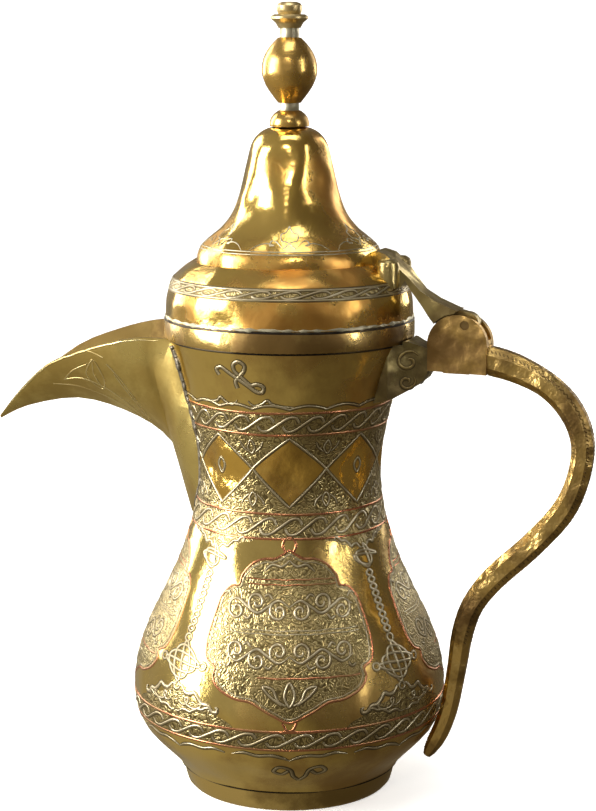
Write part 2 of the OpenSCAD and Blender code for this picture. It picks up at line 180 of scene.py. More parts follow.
def worn_metal(name, bright, dark, rough=(0.18, 0.42), dents=0.0, dent_scale=55,
               grain=0.00003, tarnish_shade_range=(0.45, 0.62), stipple=0.0, shade_lean=0.0, facets=0.14):
    """Old metal: two tones by cloudy tarnish mixed with painted shade down one side, dents
    from hand work, fine scratches.
    """
    mat, tree, bsdf = new_material(name)
    coords = add(tree, "ShaderNodeTexCoord").outputs["Object"]
    tarnish_and_shade = effect(tree, TARNISH_AND_SHADE, coords, Lean=shade_lean)
    tarnish_shade_mask = ranged(tree, tarnish_and_shade["TarnishAndShade"], *tarnish_shade_range)
    tone = mixed(tree, tarnish_shade_mask, bright, dark)
    uneven = math_node(tree, "ADD", math_node(tree, "MULTIPLY", tarnish_shade_mask, 0.75),
                       math_node(tree, "MULTIPLY", tarnish_and_shade["Fine"], 0.25))
    tree.links.new(ranged(tree, uneven, 0.1, 0.9, *rough), bsdf.inputs["Roughness"])
    bsdf.inputs["Metallic"].default_value = 1.0
    normal = bump(tree, tarnish_and_shade["Fine"], grain)
    if dents:
        work = effect(tree, HAMMER, coords, Scale=dent_scale)
        for label, depth in (("Marks", 1.0), ("Swell", 1.6), ("Facets", facets)):
            normal = bump(tree, work[label], dents * depth, normal)
    if stipple:
        field = noise_value(tree, coords, 300, 1, 0.4)
        curls = math_node(tree, "SINE", math_node(tree, "MULTIPLY", field, 52))
        punch = add(tree, "ShaderNodeTexVoronoi", feature="F1")
        punch.inputs["Scale"].default_value = 1500
        tree.links.new(coords, punch.inputs["Vector"])
        ground = math_node(tree, "ADD", math_node(tree, "MULTIPLY", curls, 0.30),
                           math_node(tree, "MULTIPLY", punch.outputs["Distance"], 0.5))
        normal = bump(tree, ground, stipple, normal)
        pits = ranged(tree, curls, -0.95, 0.3)
        tone = mixed(tree, pits, tuple(0.62 * c for c in dark), tone)
    tree.links.new(tone, bsdf.inputs["Base Color"])
    tree.links.new(normal, bsdf.inputs["Normal"])
    return mat


GOLD, OCHRE = (0.82, 0.62, 0.21), (0.48, 0.31, 0.10)
OLIVE, UMBER = (0.34, 0.28, 0.12), (0.18, 0.11, 0.04)

# Where the side lean is not zero, the darker tone also paints shade down one side of the
# piece.
body_brass = worn_metal("body_polished_brass", GOLD, OCHRE, (0.13, 0.32), 0.0017, 46,
                        tarnish_shade_range=(0.42, 0.74), shade_lean=2.6, facets=0.10)
lid_brass = worn_metal("lid_hammered_brass", (0.84, 0.59, 0.17), (0.60, 0.32, 0.08),
                       (0.16, 0.34), 0.0019, 62, tarnish_shade_range=(0.42, 0.66), shade_lean=1.2,
                       facets=0.10)
band_brass = worn_metal("lid_band_brass", (0.66, 0.47, 0.17), (0.30, 0.19, 0.07),
                        (0.18, 0.36), 0.0010, 58)
beak_brass = worn_metal("beak_sheet_brass", (0.84, 0.68, 0.26), (0.52, 0.38, 0.12),
                        (0.22, 0.38), 0.0011, 30, tarnish_shade_range=(0.40, 0.66), shade_lean=-1.0)
trough_brass = worn_metal("beak_trough_brass", (0.42, 0.29, 0.10), (0.20, 0.13, 0.05),
                          (0.34, 0.56), 0.0008, 60)
inside_tarnish = worn_metal("inside_tarnish", (0.42, 0.33, 0.18), (0.20, 0.15, 0.08),
                            (0.36, 0.60), 0.0010, 60)
block_brass = worn_metal("hinge_block_brass", (0.66, 0.44, 0.15), (0.26, 0.16, 0.06),
                         (0.30, 0.52), 0.0014, 150, 0.0001, tarnish_shade_range=(0.42, 0.62))
cast_brass = worn_metal("handle_cast_brass", (0.62, 0.43, 0.15), UMBER, (0.28, 0.50),
                        0.0013, 120, 0.00014, tarnish_shade_range=(0.42, 0.66), facets=0.4)
lug_brass = worn_metal("lug_olive_brass", OLIVE, (0.17, 0.13, 0.06), (0.32, 0.56),
                       0.0010, 150, 0.0001)
arm_brass = worn_metal("lid_arm_brass", (0.48, 0.38, 0.16), (0.24, 0.18, 0.08),
                       (0.30, 0.52), 0.0008, 150, 0.00008)
foot_brass = worn_metal("foot_brass", (0.74, 0.56, 0.22), (0.36, 0.25, 0.09),
                        (0.16, 0.34), 0.0012, 50, shade_lean=2.0)
finial_brass = worn_metal("finial_brass", (0.72, 0.47, 0.14), (0.40, 0.25, 0.08),
                          (0.24, 0.42), 0.0005, 110)
tip_brass = worn_metal("finial_tip_brass", (0.66, 0.52, 0.26), (0.34, 0.26, 0.14),
                       (0.36, 0.6), 0.0005, 190)
stem_tin = worn_metal("stem_tinned_metal", (0.56, 0.52, 0.38), (0.30, 0.28, 0.20),
                      (0.42, 0.62), 0.0006, 220)
ground_brass = worn_metal("chased_ground_brass", (0.54, 0.44, 0.21), (0.30, 0.23, 0.10),
                          (0.28, 0.46), stipple=0.00016, tarnish_shade_range=(0.4, 0.7), shade_lean=1.0)
silver_inlay = worn_metal("silver_inlay", (0.56, 0.50, 0.35), (0.34, 0.28, 0.17),
                          (0.34, 0.5), tarnish_shade_range=(0.40, 0.66))
copper_inlay = worn_metal("copper_inlay", (0.60, 0.25, 0.13), (0.36, 0.20, 0.10),
                          (0.24, 0.42), tarnish_shade_range=(0.42, 0.68))
lead_solder = worn_metal("lead_solder", (0.30, 0.27, 0.22), (0.10, 0.09, 0.07),
                         (0.42, 0.68), 0.0007, 240, 0.0001)
warm_brass = worn_metal("diamond_warm_brass", (0.94, 0.62, 0.15), (0.50, 0.29, 0.07),
                        (0.14, 0.32), 0.0034, 66, tarnish_shade_range=(0.40, 0.66))
chased_dark = worn_metal("chased_outline_brass", (0.20, 0.15, 0.07), (0.10, 0.08, 0.04),
                         (0.4, 0.6))
# Dark brown for the punch marks, and on the hinge pin, where it paints the shade of the
# pin's recess.
punch_and_shade_brown = worn_metal("punch_and_pin_shade_brown", (0.26, 0.17, 0.07), (0.12, 0.08, 0.03),
                           (0.4, 0.6))
# Near-black finish for the painted shadow rings at the neck rim, the foot step and the lid
# seam.
painted_shadow = worn_metal("painted_shadow_dark", (0.09, 0.07, 0.045), (0.03, 0.024, 0.018), (0.5, 0.75))
# Pale brass for the beak's leaf lines, and for the painted highlight along its cheek rims.
line_and_highlight_brass = worn_metal("beak_line_and_highlight_brass", (0.90, 0.78, 0.42), (0.62, 0.48, 0.2),
                       (0.24, 0.4))
rivet_brass = worn_metal("rivet_brass", (0.66, 0.49, 0.2), (0.4, 0.28, 0.1),
                         (0.25, 0.45))

SHARP_ANGLE = math.radians(31)


def soften(obj):
    """Smooth shading with crisp edges; the vertices stay where they are."""
    custom = obj.data.attributes.get("custom_normal")
    if custom:
        obj.data.attributes.remove(custom)
    obj.data.polygons.foreach_set("use_smooth", [True] * len(obj.data.polygons))
    weld = obj.modifiers.new("weld", "WELD")
    weld.merge_threshold = 0.002 * MM
    split = obj.modifiers.new("crisp_edges", "EDGE_SPLIT")
    split.split_angle = SHARP_ANGLE


NODE_LOOKS = {
    "foot_ring": foot_brass, "base_disc": foot_brass, "bowl": body_brass,
    "upper_shell": body_brass, "beak": beak_brass, "handle_lug": lug_brass,
    "lug_rivets": rivet_brass, "hinge_block": block_brass, "handle": cast_brass,
    # The hinge pin takes the dark brown so its recessed end shows as a dark hole: painted
    # shade.
    "hinge_pin": punch_and_shade_brown, "lid_band": band_brass, "lid_collar": band_brass,
    "lid_dome": lid_brass, "lid_bell": lid_brass, "lid_arm": arm_brass,
    "arm_rivets": rivet_brass, "stem": stem_tin, "stem_washer": stem_tin,
    "finial_bead": finial_brass, "finial_bulb": finial_brass,
    "finial_collar": tip_brass, "finial_cap": tip_brass,
}
for node_name, look in NODE_LOOKS.items():
    NODES[node_name].data.materials.clear()
    NODES[node_name].data.materials.append(look)
    soften(NODES[node_name])


def line_inside(name, look, faces_inward):
    """Gives the inner faces of a sheet piece their own finish."""
    mesh = NODES[name].data
    mesh.materials.append(look)
    for face in mesh.polygons:
        if faces_inward(face.center, face.normal):
            face.material_index = 1


def toward_axis(centre, normal):
    return centre.x * normal.x + centre.y * normal.y < 0 and abs(normal.z) < 0.98


def toward_trough(centre, normal):
    return centre.y * normal.y < 0


for node_name in ("upper_shell", "bowl", "lid_bell", "lid_dome", "lid_collar"):
    line_inside(node_name, inside_tarnish, toward_axis)
line_inside("beak", trough_brass, toward_trough)


# ------------------------------------------------------- surfaces to draw on

def tree_of(*names):
    points, faces = [], []
    for name in names:
        mesh = NODES[name].data
        first = len(points)
        points += [v.co.copy() for v in mesh.vertices]
        faces += [tuple(first + i for i in p.vertices) for p in mesh.polygons]
    return BVHTree.FromPolygons(points, faces)


PROFILE_STEP = 0.4 * MM   # height between two measured radii
SLOPE_REACH = 0.8 * MM    # how far up and down the slope is measured


class Turned:
    """The outside of turned pieces, by angle round from -Y toward +X and height."""

    def __init__(self, names, low, high):
        tree = tree_of(*names)
        self.low, self.radii = low, []
        out = Vector((0, -1, 0))
        z = low
        while z <= high:
            hit = tree.ray_cast(out * 0.2 + Vector((0, 0, z)), -out)[0]
            self.radii.append(math.hypot(hit.x, hit.y) if hit else self.radii[-1])
            z += PROFILE_STEP

    def radius(self, z):
        t = min(max((z - self.low) / PROFILE_STEP, 0), len(self.radii) - 1.001)
        i = int(t)
        return self.radii[i] + (t - i) * (self.radii[i + 1] - self.radii[i])

    def at(self, a, z):
        r = self.radius(z)
        d = SLOPE_REACH
        slope = (self.radius(z + d) - self.radius(z - d)) / (2 * d)
        normal = Vector((math.sin(a), -math.cos(a), -slope)).normalized()
        return Vector((r * math.sin(a), -r * math.cos(a), z)), normal

    def motif(self, a0, z0):
        """A placing rule: x across and y up, in mm, about a centre."""
        def place(x, y):
            z = z0 + y * MM
            return self.at(a0 + x * MM / self.radius(z), z)
        return place


body = Turned(["bowl", "upper_shell"], 9 * MM, 175 * MM)
lid = Turned(["lid_band", "lid_dome", "lid_bell"], 176 * MM, 253 * MM)


def smooth(points, closed=False, cuts=6):
    """A soft curve through the points."""
    n = len(points)
    spans = n if closed else n - 1
    out = []
    for i in range(spans):
        if closed:
            p = [points[(i + k) % n] for k in (-1, 0, 1, 2)]
        else:
            p = [points[min(max(i + k, 0), n - 1)] for k in (-1, 0, 1, 2)]
        for c in range(cuts):
            t = c / cuts
            out.append(tuple(
                0.5 * (2 * p1 + (p2 - p0) * t + (2 * p0 - 5 * p1 + 4 * p2 - p3) * t * t
                       + (3 * p1 - p0 - 3 * p2 + p3) * t ** 3)
                for p0, p1, p2, p3 in zip(*p)))
    if not closed:
        out.append(tuple(points[-1]))
    return out


# Across a strip: sideways in widths, outward in heights
RIBBON = ((-0.5, -0.5), (-0.38, 0.72), (0.0, 1.0), (0.38, 0.72), (0.5, -0.5))
SEAT = 0.07 * MM   # strips stand on the chased skins, which lie this high
WELD = 0.001 * MM
OUTLINE_EXTRA = 0.75 * MM    # the chased line round a strip shows this much wider
OUTLINE_HEIGHT = 0.03 * MM
WEAVE_LIFT = 0.00006         # metres a woven strand rises where it passes over
ROPE_LIFT = 0.00010          # metres a rope curl rises at its middle


def wrap(bm, columns, rows, place):
    """A grid whose corners are put where place(u, v) says, u and v from 0 to 1."""
    sheet = bmesh.ops.create_grid(bm, x_segments=columns, y_segments=rows, size=0.5)
    for corner in sheet["verts"]:
        corner.co = place(corner.co.x + 0.5, corner.co.y + 0.5)


def stations(places, closed):
    """The (point, normal) places, each with its sideways direction."""
    n = len(places)
    out = []
    for i, (point, normal) in enumerate(places):
        if closed:
            ahead = places[(i + 1) % n][0] - places[i - 1][0]
        else:
            ahead = places[min(i + 1, n - 1)][0] - places[max(i - 1, 0)][0]
        out.append((point, normal, normal.cross(ahead).normalized()))
    return out


def ribbon(bm, places, width, height, closed=False, lifts=None, taper=False):
    """A low rounded strip laid along (point, normal) places."""
    n = len(places)
    spans, across = (n if closed else n - 1), len(RIBBON) - 1
    line = stations(places, closed)

    def corner(u, v):
        i = round(u * spans) % n
        point, normal, side = line[i]
        s, h = RIBBON[round(v * across)]
        k = 0.35 + 0.65 * min(1, 5 * min(i, n - 1 - i) / n) if taper else 1.0
        lift = SEAT + (lifts[i] if lifts else 0.0)
        return point + side * (s * width * k) + normal * (h * height + lift)

    wrap(bm, spans, across, corner)


def finish_piece(bm, name, material, rides_on):
    bmesh.ops.remove_doubles(bm, verts=bm.verts, dist=WELD)
    mesh = bpy.data.meshes.new(name)
    for face in bm.faces:
        face.smooth = True
    bm.to_mesh(mesh)
    bm.free()
    obj = bpy.data.objects.new(name, mesh)
    bpy.context.scene.collection.objects.link(obj)
    mesh.materials.append(material)
    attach(obj, rides_on)


class Inlay:
    """Collects the strips of one metal, and the chased outlines under them."""

    def __init__(self, width, height, outlined=False):
        self.bm, self.width, self.height = bmesh.new(), width * MM, height * MM
        self.outline = bmesh.new() if outlined else None

    def lay(self, places, width=None, closed=False, lifts=None, taper=False):
        width = width or self.width
        ribbon(self.bm, places, width, self.height, closed, lifts, taper)
        if self.outline:
            ribbon(self.outline, places, width + OUTLINE_EXTRA, OUTLINE_HEIGHT, closed,
                   None, taper)

    def stroke(self, place, points, closed=False, width=None, smoothed=True,
               weave=0, taper=False, mirror=False):
        for sx in ((1, -1) if mirror else (1,)):
            path = [(sx * x, y) for x, y in points]
            if smoothed:
                path = smooth(path, closed)
            lifts = None
            if weave:
                lifts = [WEAVE_LIFT * (1 + math.sin(TURN * weave * i / len(path)))
                         for i in range(len(path))]
            self.lay([place(x, y) for x, y in path], width * MM if width else None,
                     closed, lifts, taper)

    def ring(self, surface, z, wobble=0.0, steps=240):
        path = []
        for i in range(steps):
            a = TURN * i / steps
            path.append(surface.at(a, z + wobble * math.sin(5 * a + z * 900)))
        self.lay(path, closed=True)

    def done(self, name, material, rides_on):
        finish_piece(self.bm, name, material, rides_on)


def ground_patch(bm, surface, a0, a1, columns, low, high, rows, lift=SEAT):
    """A skin over the surface between two heights given for each angle."""
    def corner(u, v):
        a = a0 + (a1 - a0) * u
        z0, z1 = low(a), high(a)
        point, normal = surface.at(a, z0 + (z1 - z0) * v)
        return point + normal * lift

    wrap(bm, columns, rows, corner)


# ------------------------------------------------------------- motif outlines

def spiral(cx, cy, radius, turns, start=0.0, sense=1, steps=14):
    return [(cx + radius * (1 - 0.8 * t) * math.cos(start + sense * TURN * turns * t),
             cy + radius * (1 - 0.8 * t) * math.sin(start + sense * TURN * turns * t))
            for t in (i / steps for i in range(steps + 1))]


def knot(width, height, across=3, up=4, phase=math.pi / 2, tilt=math.pi / 4,
         steps=180):
    """One closed strand woven into a lattice, standing on its corner."""
    path = []
    for i in range(steps):
        t = TURN * i / steps
        x, y = math.sin(across * t + phase), math.sin(up * t)
        path.append((width * (x * math.cos(tilt) - y * math.sin(tilt)),
                     height * (x * math.sin(tilt) + y * math.cos(tilt))))
    return path


LEAF = [(0, -2.6), (-1.3, -0.8), (-1.2, 1.0), (0, 3.0), (1.2, 1.0), (1.3, -0.8)]
BUD = [(0, -2.8), (-1.6, -0.2), (-1.1, 1.6), (0, 2.8), (1.1, 1.6), (1.6, -0.2)]
ROPE_S = [(-0.62, -0.10), (-0.52, -0.36), (-0.30, -0.34), (0.0, 0.0),
          (0.30, 0.34), (0.52, 0.36), (0.62, 0.10)]
FLEUR = [(-7.5, 1.6), (-8.4, 3.4), (-6.4, 4.4), (-3.6, 2.6), (-0.6, 0.6), (2.6, -1.6),
         (5.0, -3.4), (7.0, -3.6), (7.6, -1.8), (5.8, -0.8), (3.4, -1.2), (1.0, 1.0),
         (-1.4, 3.2), (-1.6, 5.6), (0.4, 6.8), (2.2, 5.6), (1.8, 3.6), (0.2, 1.8),
         (-1.6, -0.2), (-1.2, -2.6)]
SPRAY = [(0.4, 4.4), (2.6, 4.4), (4.6, 2.4), (7.0, 2.2), (9.2, 3.0), (11.0, 1.2),
         (13.2, -0.4), (15.6, -0.6), (17.4, -2.4), (19.4, -2.6), (19.8, -1.2),
         (18.8, -0.8)]
SPRAY_CURL = [(2.0, 0.4), (4.4, -0.8), (6.6, 0.6), (6.2, 2.0), (5.0, 1.4), (6.4, -0.6),
              (9.6, -1.4), (12.4, -0.4), (12.6, 0.8), (11.4, 0.6)]


def rope_band(surface, z_mid, height, count, strands):
    """A row of slanted linked curls right round the piece."""
    pitch = TURN / count
    for i in range(count):
        path = smooth([(pitch * (i + 0.92 * x * 1.45), z_mid + height * y)
                       for x, y in ROPE_S], False, 5)
        lifts = [ROPE_LIFT * (1 - abs(2 * j / len(path) - 1)) for j in range(len(path))]
        strands.lay([surface.at(a, z) for a, z in path], lifts=lifts)


copper = Inlay(0.95, 0.17)
silver = Inlay(0.95, 0.18, outlined=True)
lid_silver = Inlay(0.70, 0.14, outlined=True)
ground = bmesh.new()
lid_ground = bmesh.new()
scratched = Inlay(0.50, 0.07)
ALL_ROUND = (0, TURN, 220)   # first angle, last angle, columns


def flat(z):
    return lambda a: z


# Neck, waist and belly bands
for z0, z1, curls in ((143.8, 152.2, 26), (104.7, 113.7, 24), (31.2, 38.4, 36)):
    ground_patch(ground, body, *ALL_ROUND, flat(z0 * MM), flat(z1 * MM), 8)
    rope_band(body, (z0 + z1) / 2 * MM, (z1 - z0) * 0.86 * MM, curls, silver)
    copper.ring(body, z0 * MM, 0.12 * MM)
    copper.ring(body, z1 * MM, 0.12 * MM)

# Eight diamonds on the waist, polished inside, chased between, a bud in every other one.
# Heights in mm of their upper tips, widest part and lower tips
DIAMONDS, TOP, MID, LOW = 8, 142.5, 130.5, 116.2
HALF = TURN / DIAMONDS / 2


def from_centre(a):
    """0 at a diamond's middle, 1 where it meets the next one."""
    t = ((a - VIEW_AZ + HALF) % (2 * HALF)) - HALF
    return abs(t) / HALF


ROUND_DIAMONDS = (VIEW_AZ - HALF, VIEW_AZ - HALF + TURN, DIAMONDS * 32)
ground_patch(ground, body, *ROUND_DIAMONDS,
             lambda a: (TOP + (MID - TOP) * from_centre(a)) * MM, flat(143.6 * MM), 10)
ground_patch(ground, body, *ROUND_DIAMONDS, flat(113.9 * MM),
             lambda a: (LOW + (MID - LOW) * from_centre(a)) * MM, 10)
for i in range(DIAMONDS):
    centre = VIEW_AZ + TURN * i / DIAMONDS
    for tip in (TOP, LOW):
        path = [(centre + HALF * s, (MID + (tip - MID) * (1 - abs(s)) ** 0.92) * MM)
                for s in (k / 12 for k in range(-12, 13))]
        silver.lay([body.at(a, z) for a, z in path], 0.8 * MM)
    if i % 2:
        silver.stroke(body.motif(centre, 130.5 * MM), BUD, closed=True, width=0.6)
    between = body.motif(centre + HALF, 138.8 * MM)
    under = body.motif(centre + HALF, 119.2 * MM)
    for place, up in ((between, 1), (under, -1)):
        silver.stroke(place, [(x, up * y * 0.9) for x, y in LEAF], closed=True, width=0.6)
        silver.stroke(place, [(1.6, up * -1.6), (3.6, up * 0.2), (4.6, up * 2.4)],
                      width=0.6, mirror=True, taper=True)

# Four lobed medallions on the belly
VINE_SWING = 2.2
SPREAD = math.radians(25)   # half the width of a spray's chased ground
MEDAL_LOW, MEDAL_MID, MEDAL_HIGH = 41.9, 71, 100.7
# Half of a medallion's edge: degrees from its middle, height in mm
OUTLINE = [(0, 100.8), (3.5, 99.4), (8, 97.9), (14, 97.6), (20, 95.6), (24.5, 91.6),
           (25.5, 88.2), (30, 87.2), (33.6, 83.4), (34.6, 78), (35.2, 72), (34.8, 66),
           (33, 61.6), (29.2, 59.6), (29.4, 56.2), (26.4, 52.4), (20, 49.6), (14, 48.8),
           (9.5, 46.4), (5.5, 44.2), (0, 41.8)]


def outline_angle(z):
    for (a0, z0), (a1, z1) in zip(OUTLINE, OUTLINE[1:]):
        if z1 <= z <= z0:
            return math.radians(a1 + (a0 - a1) * (z - z1) / (z0 - z1))
    return 0.0


def outline_path(scale):
    right = [(math.radians(a) * scale, (MEDAL_MID + (z - MEDAL_MID) * scale) * MM)
             for a, z in OUTLINE]
    return smooth(right + [(-a, z) for a, z in right[-2:0:-1]], True, 5)


def medallion_ground(centre):
    def corner(u, v):
        z = MEDAL_LOW + (MEDAL_HIGH - MEDAL_LOW) * v
        point, normal = body.at(centre + outline_angle(z) * (2 * u - 1), z * MM)
        return point + normal * SEAT

    wrap(ground, 26, 84, corner)


def level_line(inlay, centre, z, a0, a1, width):
    path = [(centre + math.radians(a0 + (a1 - a0) * k / 20),
             (z + 0.12 * math.sin(k * 1.3)) * MM) for k in range(21)]
    ribbon(inlay.bm, [body.at(a, h) for a, h in path], width * MM, inlay.height)


for quarter in range(4):
    centre = VIEW_AZ + quarter * TURN / 4
    medallion_ground(centre)
    for inlay, scale, width in ((copper, 1.0, 1.0), (silver, 0.955, 0.5)):
        ribbon(inlay.bm, [body.at(centre + a, z) for a, z in outline_path(scale)],
               width * MM, inlay.height, True)
    # hanging loop above and link below
    copper.stroke(body.motif(centre, 102.4 * MM),
                  [(-1.6, -2), (-2.5, 0.4), (-1.2, 2.6), (1.2, 2.6), (2.5, 0.4),
                   (1.6, -2)])
    copper.stroke(body.motif(centre, 40.2 * MM),
                  [(-2.6, 1.6), (-1.0, -1.2), (2.2, -1.6)], mirror=True)
    for z in (90.6, 88.8):
        level_line(copper, centre, z, -21, 24, 0.6)
    for z in (73.4, 72.2):
        level_line(silver, centre, z, -30, 30, 0.5)
    level_line(copper, centre, 57.5, -12, 27, 0.75)
    # one mirrored vine with curling shoots fills each of the two registers
    for z, up in ((81.3, 1), (64.9, -1)):
        vine = body.motif(centre, z * MM)
        silver.stroke(vine, [(4 * k, up * VINE_SWING * math.sin(math.pi * k / 2))
                             for k in range(7)], mirror=True, width=0.95, taper=True)
        for k in range(3):
            sign = up * (1 if k % 2 == 0 else -1)
            cx = 4 + 8 * k
            silver.stroke(vine, spiral(cx, -sign * 1.5, 3.7, 1.3, sign * math.pi / 2,
                                       -sign), mirror=True, width=0.85, taper=True)
            silver.stroke(vine, [(cx + 2.2, sign * 2.6), (cx + 3.6, sign * 4.2),
                                 (cx + 5.2, sign * 3.4)], mirror=True, width=0.7,
                          taper=True)
    palm = body.motif(centre, 51.5 * MM)
    silver.stroke(palm, [(x * 1.3, y * 1.5) for x, y in LEAF], closed=True, width=0.8)
    silver.stroke(palm, [(1.4, -3.4), (4.2, -1.8), (6.2, 2.2), (9.8, 3.0), (7.4, 0.0),
                         (3.0, -3.2)], mirror=True, width=0.8)
    crest = body.motif(centre, 94.6 * MM)
    silver.stroke(crest, [(0, 2.8), (2.8, 0.6), (6.4, 1.2), (9.4, -1.4)], mirror=True,
                  width=0.8, taper=True)

    # interlace column between two medallions
    column = centre + TURN / 8
    big = body.motif(column, 58.9 * MM)
    silver.stroke(big, knot(6.6, 5.2), closed=True, smoothed=False, weave=17, width=0.85)
    for x, y in ((0, 8.6), (0, -8.6), (10.4, 0), (-10.4, 0)):
        silver.stroke(big, [(x + 1.5 * math.cos(t), y + 1.3 * math.sin(t))
                            for t in (TURN * k / 12 for k in range(12))], closed=True,
                      smoothed=False, width=0.7)
    for phase in (0, math.pi):
        path = [(1.5 * math.sin(phase + TURN * k / 22), 10.5 + 22 * k / 99)
                for k in range(100)]
        silver.stroke(big, path, smoothed=False, weave=5, width=0.8)
    small = body.motif(column, 96.4 * MM)
    silver.stroke(small, knot(4.4, 3.2, 2, 3, math.pi / 4), closed=True,
                  smoothed=False, weave=7, width=0.75)

    # sprays over the lower band and under the upper one, on ragged chased ground
    for z, across, up, shift, width in ((46.2, 1, 1, 0, 1.3), (42.4, 0.85, -0.5, 1, 0.95),
                                        (102.2, 0.62, -0.7, 0.6, 0.95)):
        silver.stroke(body.motif(column, z * MM),
                      [(x * across, y * up + shift) for x, y in SPRAY], mirror=True,
                      width=width, taper=True)
    silver.stroke(body.motif(column, 44.8 * MM), SPRAY_CURL, mirror=True, width=0.8,
                  taper=True)
    spread = (column - SPREAD, column + SPREAD, 56)

    def reach(a):
        return max(0.0, 1 - abs(a - column) / SPREAD) ** 0.7

    def ripple(a):
        return 0.7 * math.sin(abs(a - column) * 34)

    ground_patch(ground, body, *spread, flat(38.4 * MM),
                 lambda a: (38.6 + reach(a) * (10.6 + ripple(a))) * MM, 10)
    ground_patch(ground, body, *spread,
                 lambda a: (104.4 - reach(a) * (4.2 + ripple(a))) * MM, flat(104.7 * MM), 6)

    # border and fleur under the belly band
    for off in (0, TURN / 8):
        silver.stroke(body.motif(centre + off, 28.2 * MM),
                      [(0, -1.6), (3, -0.2), (7, 0.6), (12, 0.2), (17, 1.2), (21.6, 0.2)],
                      mirror=True, width=0.95, taper=True)
    low_fleur = body.motif(centre + math.radians(4), 20.6 * MM)
    silver.stroke(low_fleur, [(0, -4.6), (2.2, -2.4), (3.6, 1.4), (7.6, 2.8), (9.6, 0.4),
                              (6.6, -1.2), (4.2, 0.8)], mirror=True, width=1.2)

# Large fleurs on the neck, front and back, and a vine over the upper band
FLEUR_AZ = VIEW_AZ - math.radians(25)
for a in (FLEUR_AZ, FLEUR_AZ + math.pi):
    silver.stroke(body.motif(a, 164.2 * MM), [(1.15 * x, 1.1 * y) for x, y in FLEUR],
                  width=1.2)
    silver.stroke(body.motif(a, 154.8 * MM),
                  [(2.2, 1.8), (4.4, 0.0), (7.2, 0.8), (9.6, 2.4), (11.2, 1.0),
                   (14.5, 0.2), (19, 0.0)], mirror=True, width=0.7, taper=True)

SCALLOP_STEPS = 480
scallops = [body.at(TURN * k / SCALLOP_STEPS,
                    (153.7 + 1.5 * abs(math.sin(TURN * k / SCALLOP_STEPS * 9))) * MM)
            for k in range(SCALLOP_STEPS)]
silver.lay(scallops, 0.7 * MM, closed=True)

diamond_skin = bmesh.new()
for i in range(DIAMONDS):
    centre = VIEW_AZ + TURN * i / DIAMONDS
    ground_patch(diamond_skin, body, centre - 0.985 * HALF, centre + 0.985 * HALF, 28,
                 lambda a: (LOW + (MID - LOW) * from_centre(a)) * MM,
                 lambda a: (TOP + (MID - TOP) * from_centre(a)) * MM, 14, 0.03 * MM)
finish_piece(diamond_skin, "waist_diamonds", warm_brass, "pot")

# Painted shadow: a dark ring just under the lid's rim, in place of the shade in the gap
# between neck and lid.
rim_shadow = Inlay(0.9, 0.10)
rim_shadow.ring(body, 174.9 * MM)
rim_shadow.done("rim_painted_shadow_line", painted_shadow, "pot")

# Painted shade: a dark ring at the step between the bowl and the foot ring.
stand = Turned(["foot_ring", "bowl"], 1 * MM, 30 * MM)
foot_seam = Inlay(0.8, 0.08)
foot_seam.ring(stand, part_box("foot_ring")[1].z + 0.2 * MM, 0.08 * MM)
foot_seam.done("foot_seam_painted_shadow", painted_shadow, "pot")

copper.done("belly_copper_lines", copper_inlay, "pot")
finish_piece(silver.outline, "belly_chased_outlines", chased_dark, "pot")
silver.done("belly_silver_scrolls", silver_inlay, "pot")
finish_piece(ground, "chased_ground", ground_brass, "pot")

# Lid: rope band, engraved lines and six palmettes
ground_patch(lid_ground, lid, *ALL_ROUND, flat(194.4 * MM), flat(197.9 * MM), 4)
rope_band(lid, 196.15 * MM, 3.3 * MM, 26, lid_silver)
for z in (194.4, 197.9):
    lid_silver.ring(lid, z * MM)
for z in (209.4, 210.4):
    scratched.ring(lid, z * MM)
for i in range(6):
    palmette = lid.motif(VIEW_AZ + TURN * i / 6, 213.6 * MM)
    scratched.stroke(palmette, [(0, 5.4), (1.2, 3.4), (3.0, 2.6), (2.8, 0.6), (0.6, 0.0),
                                (-2.4, -2.2)], mirror=True)
    scratched.stroke(palmette, [(2.8, -1.8), (4.8, 0.2), (6.6, 0.4), (7.2, -1.0),
                                (5.8, -1.0), (8.4, -0.4), (12.0, -1.2), (15.5, -3.0)],
                     mirror=True, taper=True)
finish_piece(lid_silver.outline, "lid_chased_outlines", chased_dark, "lid")
lid_silver.done("lid_rope_strands", silver_inlay, "lid")
scratched.done("bell_engraving", silver_inlay, "lid")
finish_piece(lid_ground, "lid_chased_band", ground_brass, "lid")


# ------------------------------------------------- leaf engraving on the beak

beak_tree = tree_of("beak")
CHEEK_RAY, LUG_RAY = 0.06, 0.05   # metres out to the side that the rays start


def from_side(tree, side, out):
    """A placing rule: x and z in mm, seen from the +Y side (1) or the -Y side (-1)."""
    def place(x, z):
        start = Vector((x * MM, side * out, z * MM))
        hit, normal, _, _ = tree.ray_cast(start, Vector((0, -side, 0)))
        if hit is None:
            return None
        return hit, normal if normal.y * side > 0 else -normal
    return place


def placed(place, points):
    """The places of those points that fall on the surface."""
    return [found for found in (place(x, z) for x, z in points) if found]


